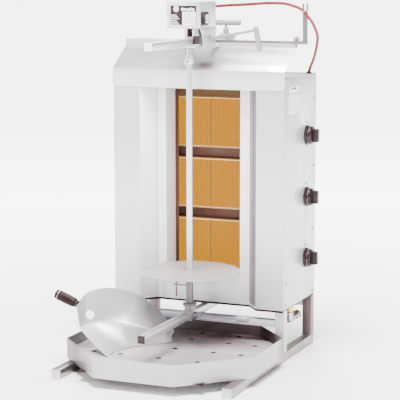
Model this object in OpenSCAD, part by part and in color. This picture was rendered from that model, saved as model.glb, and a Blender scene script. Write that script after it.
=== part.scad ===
// Table-top vertical gas doner grill: skid frame, three-burner housing,
// motor carriage on an upper arm, spit on a lower slider, octagonal drip tray and shovel.
// +Z up, the open cooking side faces -Y. Origin on the ground under the middle of the bounding box.

/* [Frame] */
// Outer width across the skids
frame_w = 550; // [500:5:600]
// Side of the square skid and upright tube
tube_s = 28; // [25:1:35]
// Side of the square arm tube
arm_s = 22; // [20:1:25]
// Wall of the square tubes
tube_wall = 2; // [1.5:0.5:3]
// Height of the housing underside
house_z = 154; // [140:2:170]

/* [Housing] */
// Half width of the housing
house_x = 273; // [260:1:280]
// Height of the housing top
house_top = 837; // [800:1:860]
// Sheet thickness of the housing
sheet = 1.5; // [1:0.5:2]
// Height of the top of the hood flange
hood_top = 941; // [930:1:950]

/* [Burners] */
// Height of one burner face
burner_h = 146; // [130:1:160]
// Distance from one burner to the next
burner_pitch = 186; // [180:1:190]
// Height of the lowest burner's lower edge
burner_z = 248.5; // [245:0.5:255]

/* [Spit] */
// Radius of the meat plate
plate_r = 149; // [120:1:150]
// Side of the square spit bar
spit_s = 16; // [12:1:16]

/* [Tray] */
// Height of the tray rim above the ground
tray_z = 88; // [75:1:95]
// Radius of the drain holes
drain_r = 7; // [5:0.5:9]

/* [Cable] */
// Radius of the motor cable
cable_r = 4.5; // [3.5:0.5:6]

/* [Show] */
// One node, or all of them

/* [Hidden] */
$fn = 40;
hw = frame_w/2;
ws = hw - tube_s;
arm_x = 27;
arm_z = 942;
spit_y = 28;
la_z = 135;
sl = 0.4;

steel = [0.86,0.86,0.88]; dark = [0.27,0.17,0.17]; tube_c = [0.66,0.62,0.63];

module bx(x0,x1,y0,y1,z0,z1) { translate([x0,y0,z0]) cube([x1-x0,y1-y0,z1-z0]); }
module cx(x0,x1,y,z,r) { translate([x0,y,z]) rotate([0,90,0]) cylinder(r=r,h=x1-x0); }
module cy(x,y0,y1,z,r) { translate([x,y0,z]) rotate([-90,0,0]) cylinder(r=r,h=y1-y0); }
module cz(x,y,z0,z1,r) { translate([x,y,z0]) cylinder(r=r,h=z1-z0); }
module both() { children(); mirror([1,0,0]) children(); }
function sq_y(x,z,s) = [[x-s/2,z-s/2],[x+s/2,z-s/2],[x+s/2,z+s/2],[x-s/2,z+s/2]];
module tube_y(x,z,s,y0,y1) { difference() { bx(x-s/2,x+s/2,y0,y1,z-s/2,z+s/2); bx(x-s/2+tube_wall,x+s/2-tube_wall,y0-1,y1+1,z-s/2+tube_wall,z+s/2-tube_wall); } }
module tube_z(x,y,s,z0,z1) { difference() { bx(x-s/2,x+s/2,y-s/2,y+s/2,z0,z1); bx(x-s/2+tube_wall,x+s/2-tube_wall,y-s/2+tube_wall,y+s/2-tube_wall,z0-1,z1+1); } }

// frame
module skids() { color(tube_c) both() tube_y(hw-tube_s/2,tube_s/2,tube_s,-326,361); }
module skid_end_plates() { color(steel) both() { bx(ws,hw,-328,-326,0,tube_s); bx(ws,hw,361,363,0,tube_s); } }
module front_uprights() { color(tube_c) both() tube_z(hw-tube_s/2,89+tube_s/2,tube_s,tube_s,house_z); }
module rear_uprights() { color(tube_c) both() tube_z(hw-tube_s/2,335+tube_s/2,tube_s,tube_s,house_z); }
module cross_bars() { color(tube_c) { bx(-ws,ws,89,117,104,124); bx(-ws,ws,335,363,120,148); } }
module lower_arm() { color(steel) tube_y(0,la_z,arm_s,-312,335); }
module upper_arm() { color(steel) tube_y(arm_x,arm_z,arm_s,-312,300); }
module arm_end_caps() { color(dark) { bx(-arm_s/2,arm_s/2,-314,-312,la_z-arm_s/2,la_z+arm_s/2); bx(arm_x-arm_s/2,arm_x+arm_s/2,-314,-312,arm_z-arm_s/2,arm_z+arm_s/2); } }
module arm_post() { color(steel) difference() {
  union() { bx(12,42,226,266,house_top,957.5); bx(2,52,216,276,house_top,house_top+4); }
  bx(arm_x-arm_s/2,arm_x+arm_s/2,200,300,arm_z-arm_s/2,arm_z+arm_s/2);
  cz(arm_x,246,950,960,4.05); } }

// housing
module plan(d=0) { polygon([[-house_x+d,86+d],[-187,86+d],[-150,129+d],[150,129+d],[187,86+d],[house_x-d,86+d],[house_x-d,372-d],[-house_x+d,372-d]]); }
module bottom_panel() { color(steel) translate([0,0,house_z]) linear_extrude(sheet) plan(); }
module top_panel() { color(steel) translate([0,0,house_top-sheet]) linear_extrude(sheet) plan(); }
module right_side_panel() { color(steel) difference() {
  bx(house_x-sheet,house_x,86,372,house_z+sheet,house_top-sheet);
  for (k=[0:2]) cx(house_x-5,house_x+5,288,knob_z(k),7); } }
module left_side_panel() { color(steel) bx(-house_x,-house_x+sheet,86,372,house_z+sheet,house_top-sheet); }
module back_panel() { color(steel) bx(-house_x+sheet,house_x-sheet,372-sheet,372,house_z+sheet,house_top-sheet); }
module front_panels() { color(steel) both() bx(187,house_x-sheet,86,86+sheet,house_z+sheet,house_top-sheet); }
module wings() { color(steel) both() translate([0,0,house_z+sheet]) linear_extrude(house_top-house_z-2*sheet)
  polygon([[187,86],[150,129],[120,129],[120,222],[121.5,222],[121.5,130.5],[150.7,130.5],[187,88.4]]); }
module lower_front_panel() { color(steel) { bx(-120,120,129,130.5,house_z+sheet,245.5); bx(-120,120,129,196.6,244,245.5); } }
module burner_chamber() { color([0.42,0.3,0.25]) { bx(-120,120,222,223.5,245.5,812); bx(-120,120,130.5,222,810.5,812); bx(-120,120,129,130.5,810.5,house_top-sheet); } }
module hood() { color(steel) difference() {
  union() { both() bx(200,240,176,178,house_top,925); translate([-274,0,0]) rotate([90,0,90]) linear_extrude(548) polygon([[84,801],[86,801],[86,855],[178,919],[178,hood_top],[176,hood_top],[176,920.2],[84,856.2]]); }
  bx(arm_x-arm_s/2-3,arm_x+arm_s/2+3,170,180,arm_z-arm_s/2-4,960);
  for (s=[-1,1]) difference() { bx(s>0?262:-275,s>0?275:-262,80,86.5,800,813); cy(s*262,79,87,813,12); } } }
screws = [[350,762],[350,557],[350,364],[350,167],[106,231],[106,171]];
module panel_screws() { color([0.6,0.58,0.6]) both() for (s=screws) cx(house_x,house_x+2.5,s[0],s[1],4); }
module side_label() { color([0.92,0.92,0.92]) bx(house_x,house_x+0.6,116,221,726,814); }

// burners
function bz(k) = burner_z + (2-k)*burner_pitch;
function knob_z(k) = 281 + (2-k)*187;
module burner_bodies() { color([0.55,0.4,0.3]) for (k=[0:2]) { bx(-116,116,204,222,bz(k)-3,bz(k)+burner_h+2); bx(-118,118,197,204,bz(k)-5,bz(k)-3); cy(60,223.5,280,knob_z(k),11); cx(60,203,280,knob_z(k),5); } }
module screen(k) { color([0.98,0.72,0.22]) { bx(-115,-1,201,204,bz(k)-3,bz(k)+burner_h); bx(1,115,201,204,bz(k)-3,bz(k)+burner_h); bx(-115,115,199.5,201,bz(k)-3,bz(k)+burner_h); } }
module top_burner_screen() { screen(0); }
module middle_burner_screen() { screen(1); }
module bottom_burner_screen() { screen(2); }

// gas train and knobs
module gas_manifold() { color([0.75,0.62,0.38]) difference() { union() { bx(203,223,278,298,house_z+sheet,700); for (k=[0:2]) cx(222,260,288,knob_z(k),12); } for (k=[0:2]) cx(232,261,288,knob_z(k),4.05); } }
module gas_inlet() { color([0.8,0.65,0.35]) { cz(236,244,118,house_z,14); cz(236,244,138,house_z,16.5); cy(236,244,322,138,8); cy(236,300,316,138,14,$fn=6); } }
module gas_elbow() { color([0.8,0.8,0.8]) { cz(236,244,96,118,13); translate([236,244,96]) sphere(r=13); cy(236,244,306,96,11); cy(236,302,318,96,15,$fn=6); cy(236,318,330,96,7.5); } }
module knob_bezels() { color([0.35,0.24,0.24]) for (k=[0:2]) { difference() { cx(house_x,house_x+8,288,knob_z(k),30); cx(house_x-1,house_x+9,288,knob_z(k),4.05); } cx(house_x,house_x+1.5,288,knob_z(k)+40,3); } }
module spindle(k) { color([0.7,0.7,0.7]) cx(238,302,288,knob_z(k),4); }
module top_spindle() { spindle(0); }
module middle_spindle() { spindle(1); }
module bottom_spindle() { spindle(2); }
module knob(k) { color(dark) difference() {
  union() { cx(285.6,293.6,288,knob_z(k),27); bx(293,311.2,279.4,296.6,knob_z(k)-20.6,knob_z(k)+20.6); }
  cx(284,304,288,knob_z(k),4.05); } }
module top_knob() { knob(0); }
module middle_knob() { knob(1); }
module bottom_knob() { knob(2); }

// spit
module spit_bar() { color(steel) translate([0,spit_y,268]) rotate([0,0,20]) translate([-spit_s/2,-spit_s/2,0]) cube([spit_s,spit_s,609]); }
module spit_collar() { color(steel) difference() { union() { cz(0,spit_y,877,906,14.2); cz(0,spit_y,906,930,12); cy(0,spit_y-15.5,spit_y,884,2.5); } cz(0,spit_y,912,931,8.05); } }
module meat_plate() { color(steel) cz(0,spit_y,264.5,268,plate_r,$fn=72); }
module spit_foot() { color(steel) difference() { union() { cz(0,spit_y,170,264.5,10.25); cz(0,spit_y,164,170,21); cz(0,spit_y,152,164,8); cz(0,spit_y,257,264.5,20); } cx(-12,1,spit_y,222,2.05); } }
module lock_pin() { color([0.55,0.5,0.5]) { cx(-53,-1,spit_y,222,2); cz(-43,spit_y,187,231,2.5); } }
module lower_slider() { color(steel) difference() {
  union() { bx(-14.9,14.9,6,50,la_z-14.9,la_z+14.9); cz(0,spit_y,la_z+14.9,163.4,16); cx(14.9,24,spit_y,la_z,9); }
  bx(-arm_s/2-sl,arm_s/2+sl,0,60,la_z-arm_s/2-sl,la_z+arm_s/2+sl);
  cz(0,spit_y,151,170,8.05); cx(10,25,spit_y,la_z,4.05); } }
module lower_clamp() { color([0.75,0.73,0.74]) { cx(11.6,151,spit_y,la_z,4); cx(151,185,spit_y,la_z,9); cx(24.6,34,spit_y,la_z,7); } }

// carriage
module carriage_sleeve() { color(steel) difference() {
  union() { bx(12.1,41.9,-31,98,927.1,956.9); bx(41.9,52,44,72,938,964); bx(22,41.9,0,98,956.9,980.5); }
  bx(arm_x-arm_s/2-sl,arm_x+arm_s/2+sl,-40,110,arm_z-arm_s/2-sl,arm_z+arm_s/2+sl);
  cx(43,53,58,952,4.05); } }
module carriage_plate() { color(steel) difference() {
  union() { bx(-52,54,-14,105,980.5,982.5); translate([52,0,0]) rotate([90,0,90]) linear_extrude(2) polygon([[-14,980.5],[105,980.5],[98,921],[14,921]]); color(dark) bx(41.9,54,-31,-16,932,957); }
  cz(0,spit_y,980,983,12); cx(51,55,58,952,4.05); } }
module motor_box() { color(steel) difference() { bx(-52,52,-14,105,982.5,1057); bx(-50.5,50.5,-12.5,103.5,984,1055.5); cz(0,spit_y,982,985,12); } }
module gear_motor() { color([0.6,0.6,0.62]) difference() { union() { bx(-36,36,-6,64,984,1020); cz(0,spit_y,1020,1050,26); } cz(0,spit_y,983,985.6,13); cz(0,spit_y,984,1006,6.05); } }
module motor_label() { color([0.9,0.9,0.9]) bx(-40,41,-14.6,-14,990,1046); }
module switch_bezel() { color([0.3,0.22,0.22]) difference() { bx(52,55,-8,43,988,1028); bx(54,56,-4,39,992,1024); } }
module rocker_switch() { color(dark) { bx(57.4,60,-3,38,993,1023); cy(58,-3,38,1008,2.4); } }
module drive_coupling() { color(dark) { cz(0,spit_y,931,985,10.5); cz(0,spit_y,913,931,8); cz(0,spit_y,985,1004,6); } }
module side_clamp() { color([0.78,0.76,0.78]) { cx(43.5,56,58,952,4); cx(55,66,58,952,9);
  hull() { translate([62,58,952]) sphere(r=5,$fn=16); translate([196,58,976]) sphere(r=3.5,$fn=16); }
  hull() { translate([195,58,980]) sphere(r=8,$fn=16); translate([206,58,923]) sphere(r=8,$fn=16); } } }
module cable_bracket() { color([0.75,0.74,0.75]) { cx(54,293,100,941,3.5); bx(293,335.5,93,107,936,946); cz(303,100,926,958,3);
  bx(321.5,335.5,98.5,101.5,946,1030); bx(320.5,325,98.5,101.5,1030,1052); bx(332,336.5,98.5,101.5,1030,1052); } }
module wing_nut() { color([0.72,0.72,0.72]) difference() { union() { cz(303,100,946.4,952,6); bx(292,314,99,101,948,957); } cz(303,100,946,960,3.05); } }
module cable_gland() { color(dark) { cy(30,105,113,1042,8); } }
cable_pts = [[30,113,1042],[34,124,1042],[50,133,1042],[93,128,1045],[136,122,1047],[179,115,1050],[219,108,1052],[267,99,1051],[304,94,1042],[321,93,1034],[331,92.6,1024],[338.9,95.2,1014],[340.2,104,1009],[340,126,999],[339.5,155,981],[336,190,956],[324,222,932],[309,254,907],[289,292,880],[268,328,856],[256,347,837]];
function cr(a,b,c,d,t) = 0.5*((2*b)+(c-a)*t+(2*a-5*b+4*c-d)*t*t+(3*b-a-3*c+d)*t*t*t);
np = len(cable_pts);
route = [for (i=[0:np-2]) for (j=[0:(i==np-2?3:2)]) cr(cable_pts[max(i-1,0)],cable_pts[i],cable_pts[i+1],cable_pts[min(i+2,np-1)],j/3)];
nr = len(route);
function unit(v) = v/norm(v);
cable_ref = unit([1,0,1]);
function ring(i) = let(t = i==0 ? [0,1,0] : unit(route[min(i+1,nr-1)]-route[i-1]), b = unit(cross(t,cable_ref)), n = cross(b,t)) [for (k=[0:9]) route[i] + cable_r*(cos(36*k)*n + sin(36*k)*b)];
module motor_cable() { color([0.69,0.29,0.28]) polyhedron(points=[for (i=[0:nr-1]) each ring(i)],
  faces=concat([[for (k=[0:9]) k]],[[for (k=[9:-1:0]) (nr-1)*10+k]],[for (i=[0:nr-2]) for (k=[0:9]) each [[i*10+k,(i+1)*10+k,i*10+(k+1)%10],[i*10+(k+1)%10,(i+1)*10+k,(i+1)*10+(k+1)%10]]])); }
module top_clamp() { color([0.78,0.78,0.78]) { cz(arm_x,246,953.4,984,4); cx(arm_x-46,arm_x+46,246,990,8.5); cz(arm_x,246,958,972,9); } }

// tray
function oct(d) = [[-120+d*0.3,-372+d],[120-d*0.3,-372+d],[292-d,-200+d*0.4],[292-d,34-d*0.4],[178-d*0.5,160-d],[-178+d*0.5,160-d],[-292+d,34-d*0.4],[-292+d,-200+d*0.4]];
module drip_tray() { color([0.8,0.79,0.8]) difference() {
  translate([0,0,tube_s+0.4]) linear_extrude(tray_z-tube_s-0.4) polygon(oct(0));
  translate([0,0,tube_s+2.4]) linear_extrude(90) polygon(oct(2)); } }
module tray_insert() { color([0.82,0.81,0.82]) { difference() {
  translate([0,0,54.5]) linear_extrude(1.5) polygon(oct(4));
  for (x=[-205,-120,0,120,205]) for (y=[-198,-80,37]) cz(x,y,50,60,drain_r,$fn=24);
  for (x=[-120,0,120]) for (y=[-300,124]) cz(x,y,50,60,drain_r,$fn=24); }
  for (x=[-150,-60,60,150]) bx(x-1,x+1,-300,110,30.8,54.5); } }

// shovel
ns = 24;
function s_arc(t) = let(a=193-85*t, r=166+16*t+14*pow(t,8)) [26+r*cos(a),-212+r*sin(a),58.2+ (t>0.9?(t-0.9)*60:0)];
function lerp(p,t) = let(n=len(p)-1, i=min(floor(t*n),n-1), f=t*n-i) cr(p[max(i-1,0)],p[i],p[i+1],p[min(i+2,n)],f);
crease = [[-258,-182,116],[-232,-135,124],[-165,-108,123],[-95,-72,106],[-45,-8,74]];
rim = [[-270,-180,184],[-262,-122,210],[-222,-100,222],[-181,-60,214],[-144,0,182],[-112,34,146],[-72,32,106],[-41,6,84]];
function s_low(t) = lerp(crease,t);
function s_rim(t) = lerp(rim,t);
blade_v = [-0.7,0.9,-1.0];
rows = 6;
function s_pt(i,j) = let(t=j/ns) i<=3 ? s_arc(t)+(s_low(t)-s_arc(t))*i/3+[0,0,-6*sin(60*i)*(1-t)] : s_low(t)+(s_rim(t)-s_low(t))*(i-3)/3;
sp = [for (i=[0:rows]) for (j=[0:ns]) s_pt(i,j)];
sq = [for (p=sp) p+blade_v];
nc = ns+1; nsp = len(sp);
module shovel_blade() { color(steel) difference() { polyhedron(points=concat(sp,sq), faces=concat(
  [for (i=[0:rows-1]) for (j=[0:ns-1]) each [[i*nc+j,(i+1)*nc+j,i*nc+j+1],[i*nc+j+1,(i+1)*nc+j,(i+1)*nc+j+1]]],
  [for (i=[0:rows-1]) for (j=[0:ns-1]) each [[nsp+i*nc+j,nsp+i*nc+j+1,nsp+(i+1)*nc+j],[nsp+i*nc+j+1,nsp+(i+1)*nc+j+1,nsp+(i+1)*nc+j]]],
  [for (j=[0:ns-1]) each [[j,j+1,nsp+j],[j+1,nsp+j+1,nsp+j]]],
  [for (j=[0:ns-1]) each [[rows*nc+j,nsp+rows*nc+j,rows*nc+j+1],[rows*nc+j+1,nsp+rows*nc+j,nsp+rows*nc+j+1]]],
  [for (i=[0:rows-1]) each [[i*nc,nsp+i*nc,(i+1)*nc],[(i+1)*nc,nsp+i*nc,nsp+(i+1)*nc]]],
  [for (i=[0:rows-1]) each [[i*nc+ns,(i+1)*nc+ns,nsp+i*nc+ns],[(i+1)*nc+ns,nsp+(i+1)*nc+ns,nsp+i*nc+ns]]]));
  translate(handle_a) rotate([0,-70,0]) cylinder(r=11.02,h=20);
  translate([-245,-140,148]) rotate([0,76,-20]) cylinder(r=12.5,h=30,center=true,$fn=24); } }
handle_a = [-269,-172,184];
module shovel_handle() { color(dark) translate(handle_a) rotate([0,-70,0]) { cylinder(r=11,h=8); translate([0,0,8]) cylinder(r=15,h=62.2); translate([0,0,70.2]) cylinder(r=14,h=5.2); } }

skids();
skid_end_plates();
front_uprights();
rear_uprights();
cross_bars();
lower_arm();
upper_arm();
arm_end_caps();
arm_post();
left_side_panel();
right_side_panel();
back_panel();
top_panel();
bottom_panel();
front_panels();
wings();
lower_front_panel();
burner_chamber();
hood();
panel_screws();
side_label();
burner_bodies();
top_burner_screen();
middle_burner_screen();
bottom_burner_screen();
gas_manifold();
gas_inlet();
gas_elbow();
knob_bezels();
top_spindle();
middle_spindle();
bottom_spindle();
top_knob();
middle_knob();
bottom_knob();
spit_bar();
spit_collar();
meat_plate();
spit_foot();
lock_pin();
lower_slider();
lower_clamp();
carriage_sleeve();
carriage_plate();
motor_box();
gear_motor();
motor_label();
switch_bezel();
rocker_switch();
drive_coupling();
side_clamp();
cable_bracket();
wing_nut();
cable_gland();
motor_cable();
top_clamp();
drip_tray();
tray_insert();
shovel_blade();
shovel_handle();
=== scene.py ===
import bpy, bmesh, math, random
import numpy as np
from mathutils import Vector, Matrix


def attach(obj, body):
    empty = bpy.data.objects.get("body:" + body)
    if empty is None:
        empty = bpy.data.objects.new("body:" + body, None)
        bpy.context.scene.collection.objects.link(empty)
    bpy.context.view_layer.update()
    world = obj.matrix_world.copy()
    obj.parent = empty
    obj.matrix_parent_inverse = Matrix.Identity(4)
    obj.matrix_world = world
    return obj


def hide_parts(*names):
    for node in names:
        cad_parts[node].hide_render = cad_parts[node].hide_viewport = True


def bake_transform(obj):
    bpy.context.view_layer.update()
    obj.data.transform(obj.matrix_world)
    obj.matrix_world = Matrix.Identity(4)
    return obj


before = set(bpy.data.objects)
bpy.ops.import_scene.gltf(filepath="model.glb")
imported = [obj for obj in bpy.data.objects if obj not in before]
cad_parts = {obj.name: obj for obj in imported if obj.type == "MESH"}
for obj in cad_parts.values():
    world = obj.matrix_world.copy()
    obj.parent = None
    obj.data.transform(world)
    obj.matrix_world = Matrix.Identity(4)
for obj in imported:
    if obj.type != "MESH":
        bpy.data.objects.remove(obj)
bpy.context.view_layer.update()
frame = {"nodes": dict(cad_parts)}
N = frame["nodes"]
scene = bpy.context.scene

# ---------------------------------------------------------------- camera
a, p, r = math.radians(22.894), math.radians(8.683), math.radians(-0.073)
d = Vector((-math.sin(a)*math.cos(p), math.cos(a)*math.cos(p), -math.sin(p)))
R = Vector((math.cos(a), math.sin(a), 0)); U = R.cross(d)
R, U = R*math.cos(r)+U*math.sin(r), -R*math.sin(r)+U*math.cos(r)
cam_data = bpy.data.cameras.new("camera"); cam = bpy.data.objects.new("camera", cam_data)
scene.collection.objects.link(cam)
cam.matrix_world = Matrix(((R.x, U.x, -d.x, 1.739), (R.y, U.y, -d.y, -4.0108), (R.z, U.z, -d.z, 1.1499), (0, 0, 0, 1)))
cam_data.sensor_width = 36; cam_data.lens = 1514.6/400*36; cam_data.clip_end = 300; cam_data.clip_start = .05
scene.camera = cam

# ---------------------------------------------------------------- stage
def area(name, loc, aim, size, power, col=(1, 1, 1), sy=None):
    l = bpy.data.lights.new(name, "AREA"); l.shape = "RECTANGLE"; l.size = size; l.size_y = sy or size; l.energy = power; l.color = col
    o = bpy.data.objects.new(name, l); scene.collection.objects.link(o)
    o.location = loc; o.rotation_euler = (Vector(aim)-Vector(loc)).to_track_quat("-Z", "Y").to_euler()
    return o
area("key", (-2.2, -3.2, 2.6), (0, 0, .5), 1.6, 120)
area("fill", (3.8, -.6, 1.8), (0, 0, .5), 1.4, 40)
area("top", (.5, -1.3, 4.8), (0, 0, 0), 2.2, 1050)
area("back", (-.9, 2.6, 4.0), (0, -.3, 0), 1.2, 330)
w = bpy.data.worlds.new("studio"); scene.world = w; w.use_nodes = True
nt = w.node_tree; nt.nodes.clear()
out = nt.nodes.new("ShaderNodeOutputWorld"); bg = nt.nodes.new("ShaderNodeBackground")
tc = nt.nodes.new("ShaderNodeTexCoord"); sp = nt.nodes.new("ShaderNodeSeparateXYZ"); rp = nt.nodes.new("ShaderNodeValToRGB"); mr = nt.nodes.new("ShaderNodeMapRange")
mr.inputs["From Min"].default_value = -1; mr.inputs["From Max"].default_value = 1
nt.links.new(tc.outputs["Generated"], sp.inputs[0]); nt.links.new(sp.outputs["Z"], mr.inputs["Value"]); nt.links.new(mr.outputs[0], rp.inputs[0]); nt.links.new(rp.outputs[0], bg.inputs[0]); nt.links.new(bg.outputs[0], out.inputs[0])
for pos, v in ((.50, 1.0), (.58, .9), (.70, .85), (.86, .55)): rp.color_ramp.elements.new(pos).color = (v, v*.985, v*.99, 1)
e_ = rp.color_ramp.elements; e_[0].position = 0; e_[0].color = (.6, .59, .59, 1); e_[-1].position = 1; e_[-1].color = (.26, .24, .24, 1)
bg.inputs[1].default_value = .95

def link(o): scene.collection.objects.link(o); return o
def mesh_obj(name, verts, faces, smooth=False):
    m = bpy.data.meshes.new(name); m.from_pydata([tuple(v) for v in verts], [], faces); m.update()
    if smooth:
        for q in m.polygons: q.use_smooth = True
    return link(bpy.data.objects.new(name, m))

# ---------------------------------------------------------------- materials
def new_mat(name):
    m = bpy.data.materials.new(name); m.use_nodes = True; t = m.node_tree
    return m, t, t.nodes["Principled BSDF"]
def nd(t, kind, **kw):
    n = t.nodes.new(kind)
    for k, v in kw.items():
        if k in n.inputs.keys(): n.inputs[k].default_value = v
        else: setattr(n, k, v)
    return n
def coords(t, scale):
    c = nd(t, "ShaderNodeTexCoord"); m = nd(t, "ShaderNodeMapping"); m.inputs["Scale"].default_value = scale
    t.links.new(c.outputs["Object"], m.inputs["Vector"]); return m.outputs[0]
def noise(t, scale_vec, scale, detail=4, rough=.55):
    n = nd(t, "ShaderNodeTexNoise"); n.inputs["Scale"].default_value = scale; n.inputs["Detail"].default_value = detail; n.inputs["Roughness"].default_value = rough
    t.links.new(coords(t, scale_vec), n.inputs["Vector"]); return n.outputs["Fac"]
def rng(t, v, a0, a1, b0, b1):
    m = nd(t, "ShaderNodeMapRange"); t.links.new(v, m.inputs["Value"])
    for k, x in zip(("From Min", "From Max", "To Min", "To Max"), (a0, a1, b0, b1)): m.inputs[k].default_value = x
    return m.outputs[0]
def ramp(t, v, *stops):
    n = nd(t, "ShaderNodeValToRGB"); e = n.color_ramp.elements
    while len(e) < len(stops): e.new(.5)
    for k, (pos, col) in enumerate(stops): e[k].position = pos; e[k].color = (*col, 1)
    t.links.new(v, n.inputs[0]); return n.outputs[0]
def mul(t, x, y, op="MULTIPLY"):
    m = nd(t, "ShaderNodeMath", operation=op)
    t.links.new(x, m.inputs[0])
    if hasattr(y, "links"): t.links.new(y, m.inputs[1])
    else: m.inputs[1].default_value = y
    return m.outputs[0]
def bump(t, b, h, strength, dist=.0005):
    n = nd(t, "ShaderNodeBump"); n.inputs["Strength"].default_value = strength; n.inputs["Distance"].default_value = dist
    t.links.new(h, n.inputs["Height"]); t.links.new(n.outputs[0], b.inputs["Normal"])

def steel(name, base, rough=.3, grain=(300, 300, 4), metal=1.0, smudge=.06, wear=True, bmp=.12):
    """Brushed stainless: long grain lines, cloudy handling marks, paler worn edges."""
    m, t, b = new_mat(name)
    g = noise(t, grain, 1.6, 6, .6); c = noise(t, (1, 1, 1), 7, 5, .6); f = noise(t, (1, 1, 1), 60, 3, .6)
    lo = [x*.9 for x in base]; hi = [min(1, x*1.05) for x in base]
    col = ramp(t, mul(t, mul(t, g, .5), mul(t, c, .5), "ADD"), (.32, lo), (.68, hi))
    if wear:
        geo = nd(t, "ShaderNodeNewGeometry"); e = rng(t, geo.outputs["Pointiness"], .52, .6, 0, 1)
        mx = nd(t, "ShaderNodeMix", data_type="RGBA"); t.links.new(e, mx.inputs[0]); t.links.new(col, mx.inputs[6]); mx.inputs[7].default_value = (*[min(1, x*1.12) for x in base], 1); col = mx.outputs[2]
    t.links.new(col, b.inputs["Base Color"])
    rr = mul(t, mul(t, rng(t, g, .3, .7, rough-.06, rough+.07), rng(t, c, .35, .7, -smudge, smudge), "ADD"), rng(t, f, .4, .75, 0, smudge*.5), "ADD")
    t.links.new(rr, b.inputs["Roughness"]); b.inputs["Metallic"].default_value = metal
    b.inputs["Anisotropic"].default_value = .35
    bump(t, b, g, bmp, .0002)
    return m
def plastic(name, base, rough=.4, fine=900, spec=.5):
    """Moulded plastic: fine pebble grain, cloudy tone, rubbed edges."""
    m, t, b = new_mat(name)
    f = noise(t, (1, 1, 1), fine, 2, .5); c = noise(t, (1, 1, 1), 25, 4, .6)
    col = ramp(t, c, (.3, [x*.82 for x in base]), (.75, [min(1, x*1.25+.01) for x in base]))
    geo = nd(t, "ShaderNodeNewGeometry"); e = rng(t, geo.outputs["Pointiness"], .53, .62, 0, .6)
    mx = nd(t, "ShaderNodeMix", data_type="RGBA"); t.links.new(e, mx.inputs[0]); t.links.new(col, mx.inputs[6]); mx.inputs[7].default_value = (*[min(1, x*1.7+.03) for x in base], 1)
    t.links.new(mx.outputs[2], b.inputs["Base Color"])
    t.links.new(rng(t, c, .3, .7, rough-.07, rough+.1), b.inputs["Roughness"]); b.inputs["Specular IOR Level"].default_value = spec
    bump(t, b, f, .25, .0002)
    return m
M = {}
M["sheet"] = steel("sheet_steel_look", (.50, .50, .52), .38, (260, 260, 3), metal=.6, smudge=.03, bmp=.03)
M["hood"] = steel("hood_steel_look", (.52, .505, .52), .34, (3, 260, 260), metal=.6, bmp=.05)
M["bright"] = steel("bright_steel_look", (.5, .485, .495), .32, (400, 400, 400), metal=.8, smudge=.03, bmp=.02)
M["blade"] = steel("blade_steel_look", (.50, .485, .50), .42, (400, 400, 400), metal=.55, smudge=.03, bmp=.02)
M["tube"] = steel("tube_steel_look", (.3, .27, .275), .38, (200, 6, 200))
M["spit"] = steel("spit_steel_look", (.6, .59, .595), .38, (300, 300, 20), metal=.5, smudge=.03, bmp=.03)
M["tray"] = steel("tray_steel_look", (.44, .425, .435), .4, (380, 380, 200), metal=.7, smudge=.03, bmp=.03)
M["insert"] = steel("insert_steel_look", (.44, .42, .43), .42, (420, 420, 420), metal=.55, smudge=.03, bmp=.04)
M["screw"] = steel("screw_steel_look", (.24, .23, .24), .35, (200, 200, 200), bmp=.04)
M["grip"] = steel("grip_grey_look", (.25, .24, .25), .5, (60, 60, 60), metal=.3)
M["brass"] = steel("brass_look", (.62, .44, .13), .28, (90, 90, 90), bmp=.06)
M["bronze"] = steel("bronze_nut_look", (.5, .4, .27), .33, (90, 90, 90), bmp=.06)
M["nickel"] = steel("nickel_look", (.42, .40, .38), .22, (90, 90, 90), bmp=.04)
M["cast"] = steel("motor_cast_look", (.42, .42, .44), .55, (60, 60, 60), metal=.6, bmp=.4)
M["dark"] = plastic("dark_plastic_look", (.012, .004, .0045), .24, spec=.2)
M["darkgrip"] = plastic("handle_plastic_look", (.010, .003, .003), .4, 500, spec=.07)
M["wing"] = steel("wing_steel_look", (.78, .78, .80), .55, (260, 260, 3), metal=.1)
M["plate"] = steel("plate_steel_look", (.38, .36, .37), .42, (90, 90, 90), metal=.3, bmp=.04)
# painted shade: darker copies of the wing steel for the angled facet and its fold line
M["wingshade"] = steel("wing_facet_painted_shade_look", (.20, .185, .198), .45, (260, 260, 3), metal=.5, smudge=.03, bmp=.03)
M["wing_fold_shade"] = steel("wing_fold_painted_shade_look", (.05, .034, .038), .45, (260, 260, 3), metal=.5, smudge=.03, bmp=.03)
M["roof"] = steel("roof_steel_look", (.3, .28, .29), .4, (3, 200, 200), metal=.9, smudge=.03, bmp=.04)
M["rod"] = steel("rod_steel_look", (.15, .135, .142), .38, (300, 300, 300), metal=.8, smudge=.03, bmp=.03)
M["slider"] = steel("slider_steel_look", (.28, .26, .27), .36, (300, 300, 300), metal=.8, smudge=.03, bmp=.03)
# very dark brown steel for the burner chamber and the rails beside the burner openings
M["chamber"] = steel("dark_brown_chamber_look", (.07, .026, .016), .55, (60, 60, 60), metal=.5, smudge=.15)
# painted shade: near-black steel for the housing's underside and the shade strips and sheets below
M["under"] = steel("underside_painted_shade_look", (.03, .014, .014), .6, (60, 60, 60), metal=.6, smudge=.1)
M["burner"] = steel("burner_body_look", (.3, .16, .06), .5, (90, 90, 90), metal=.7, smudge=.15)
TD = steel("shaded_tube_look", (.16, .12, .13), .42, (300, 300, 300), metal=.6, smudge=.04, bmp=.03); M["tubedark"] = TD
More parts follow.
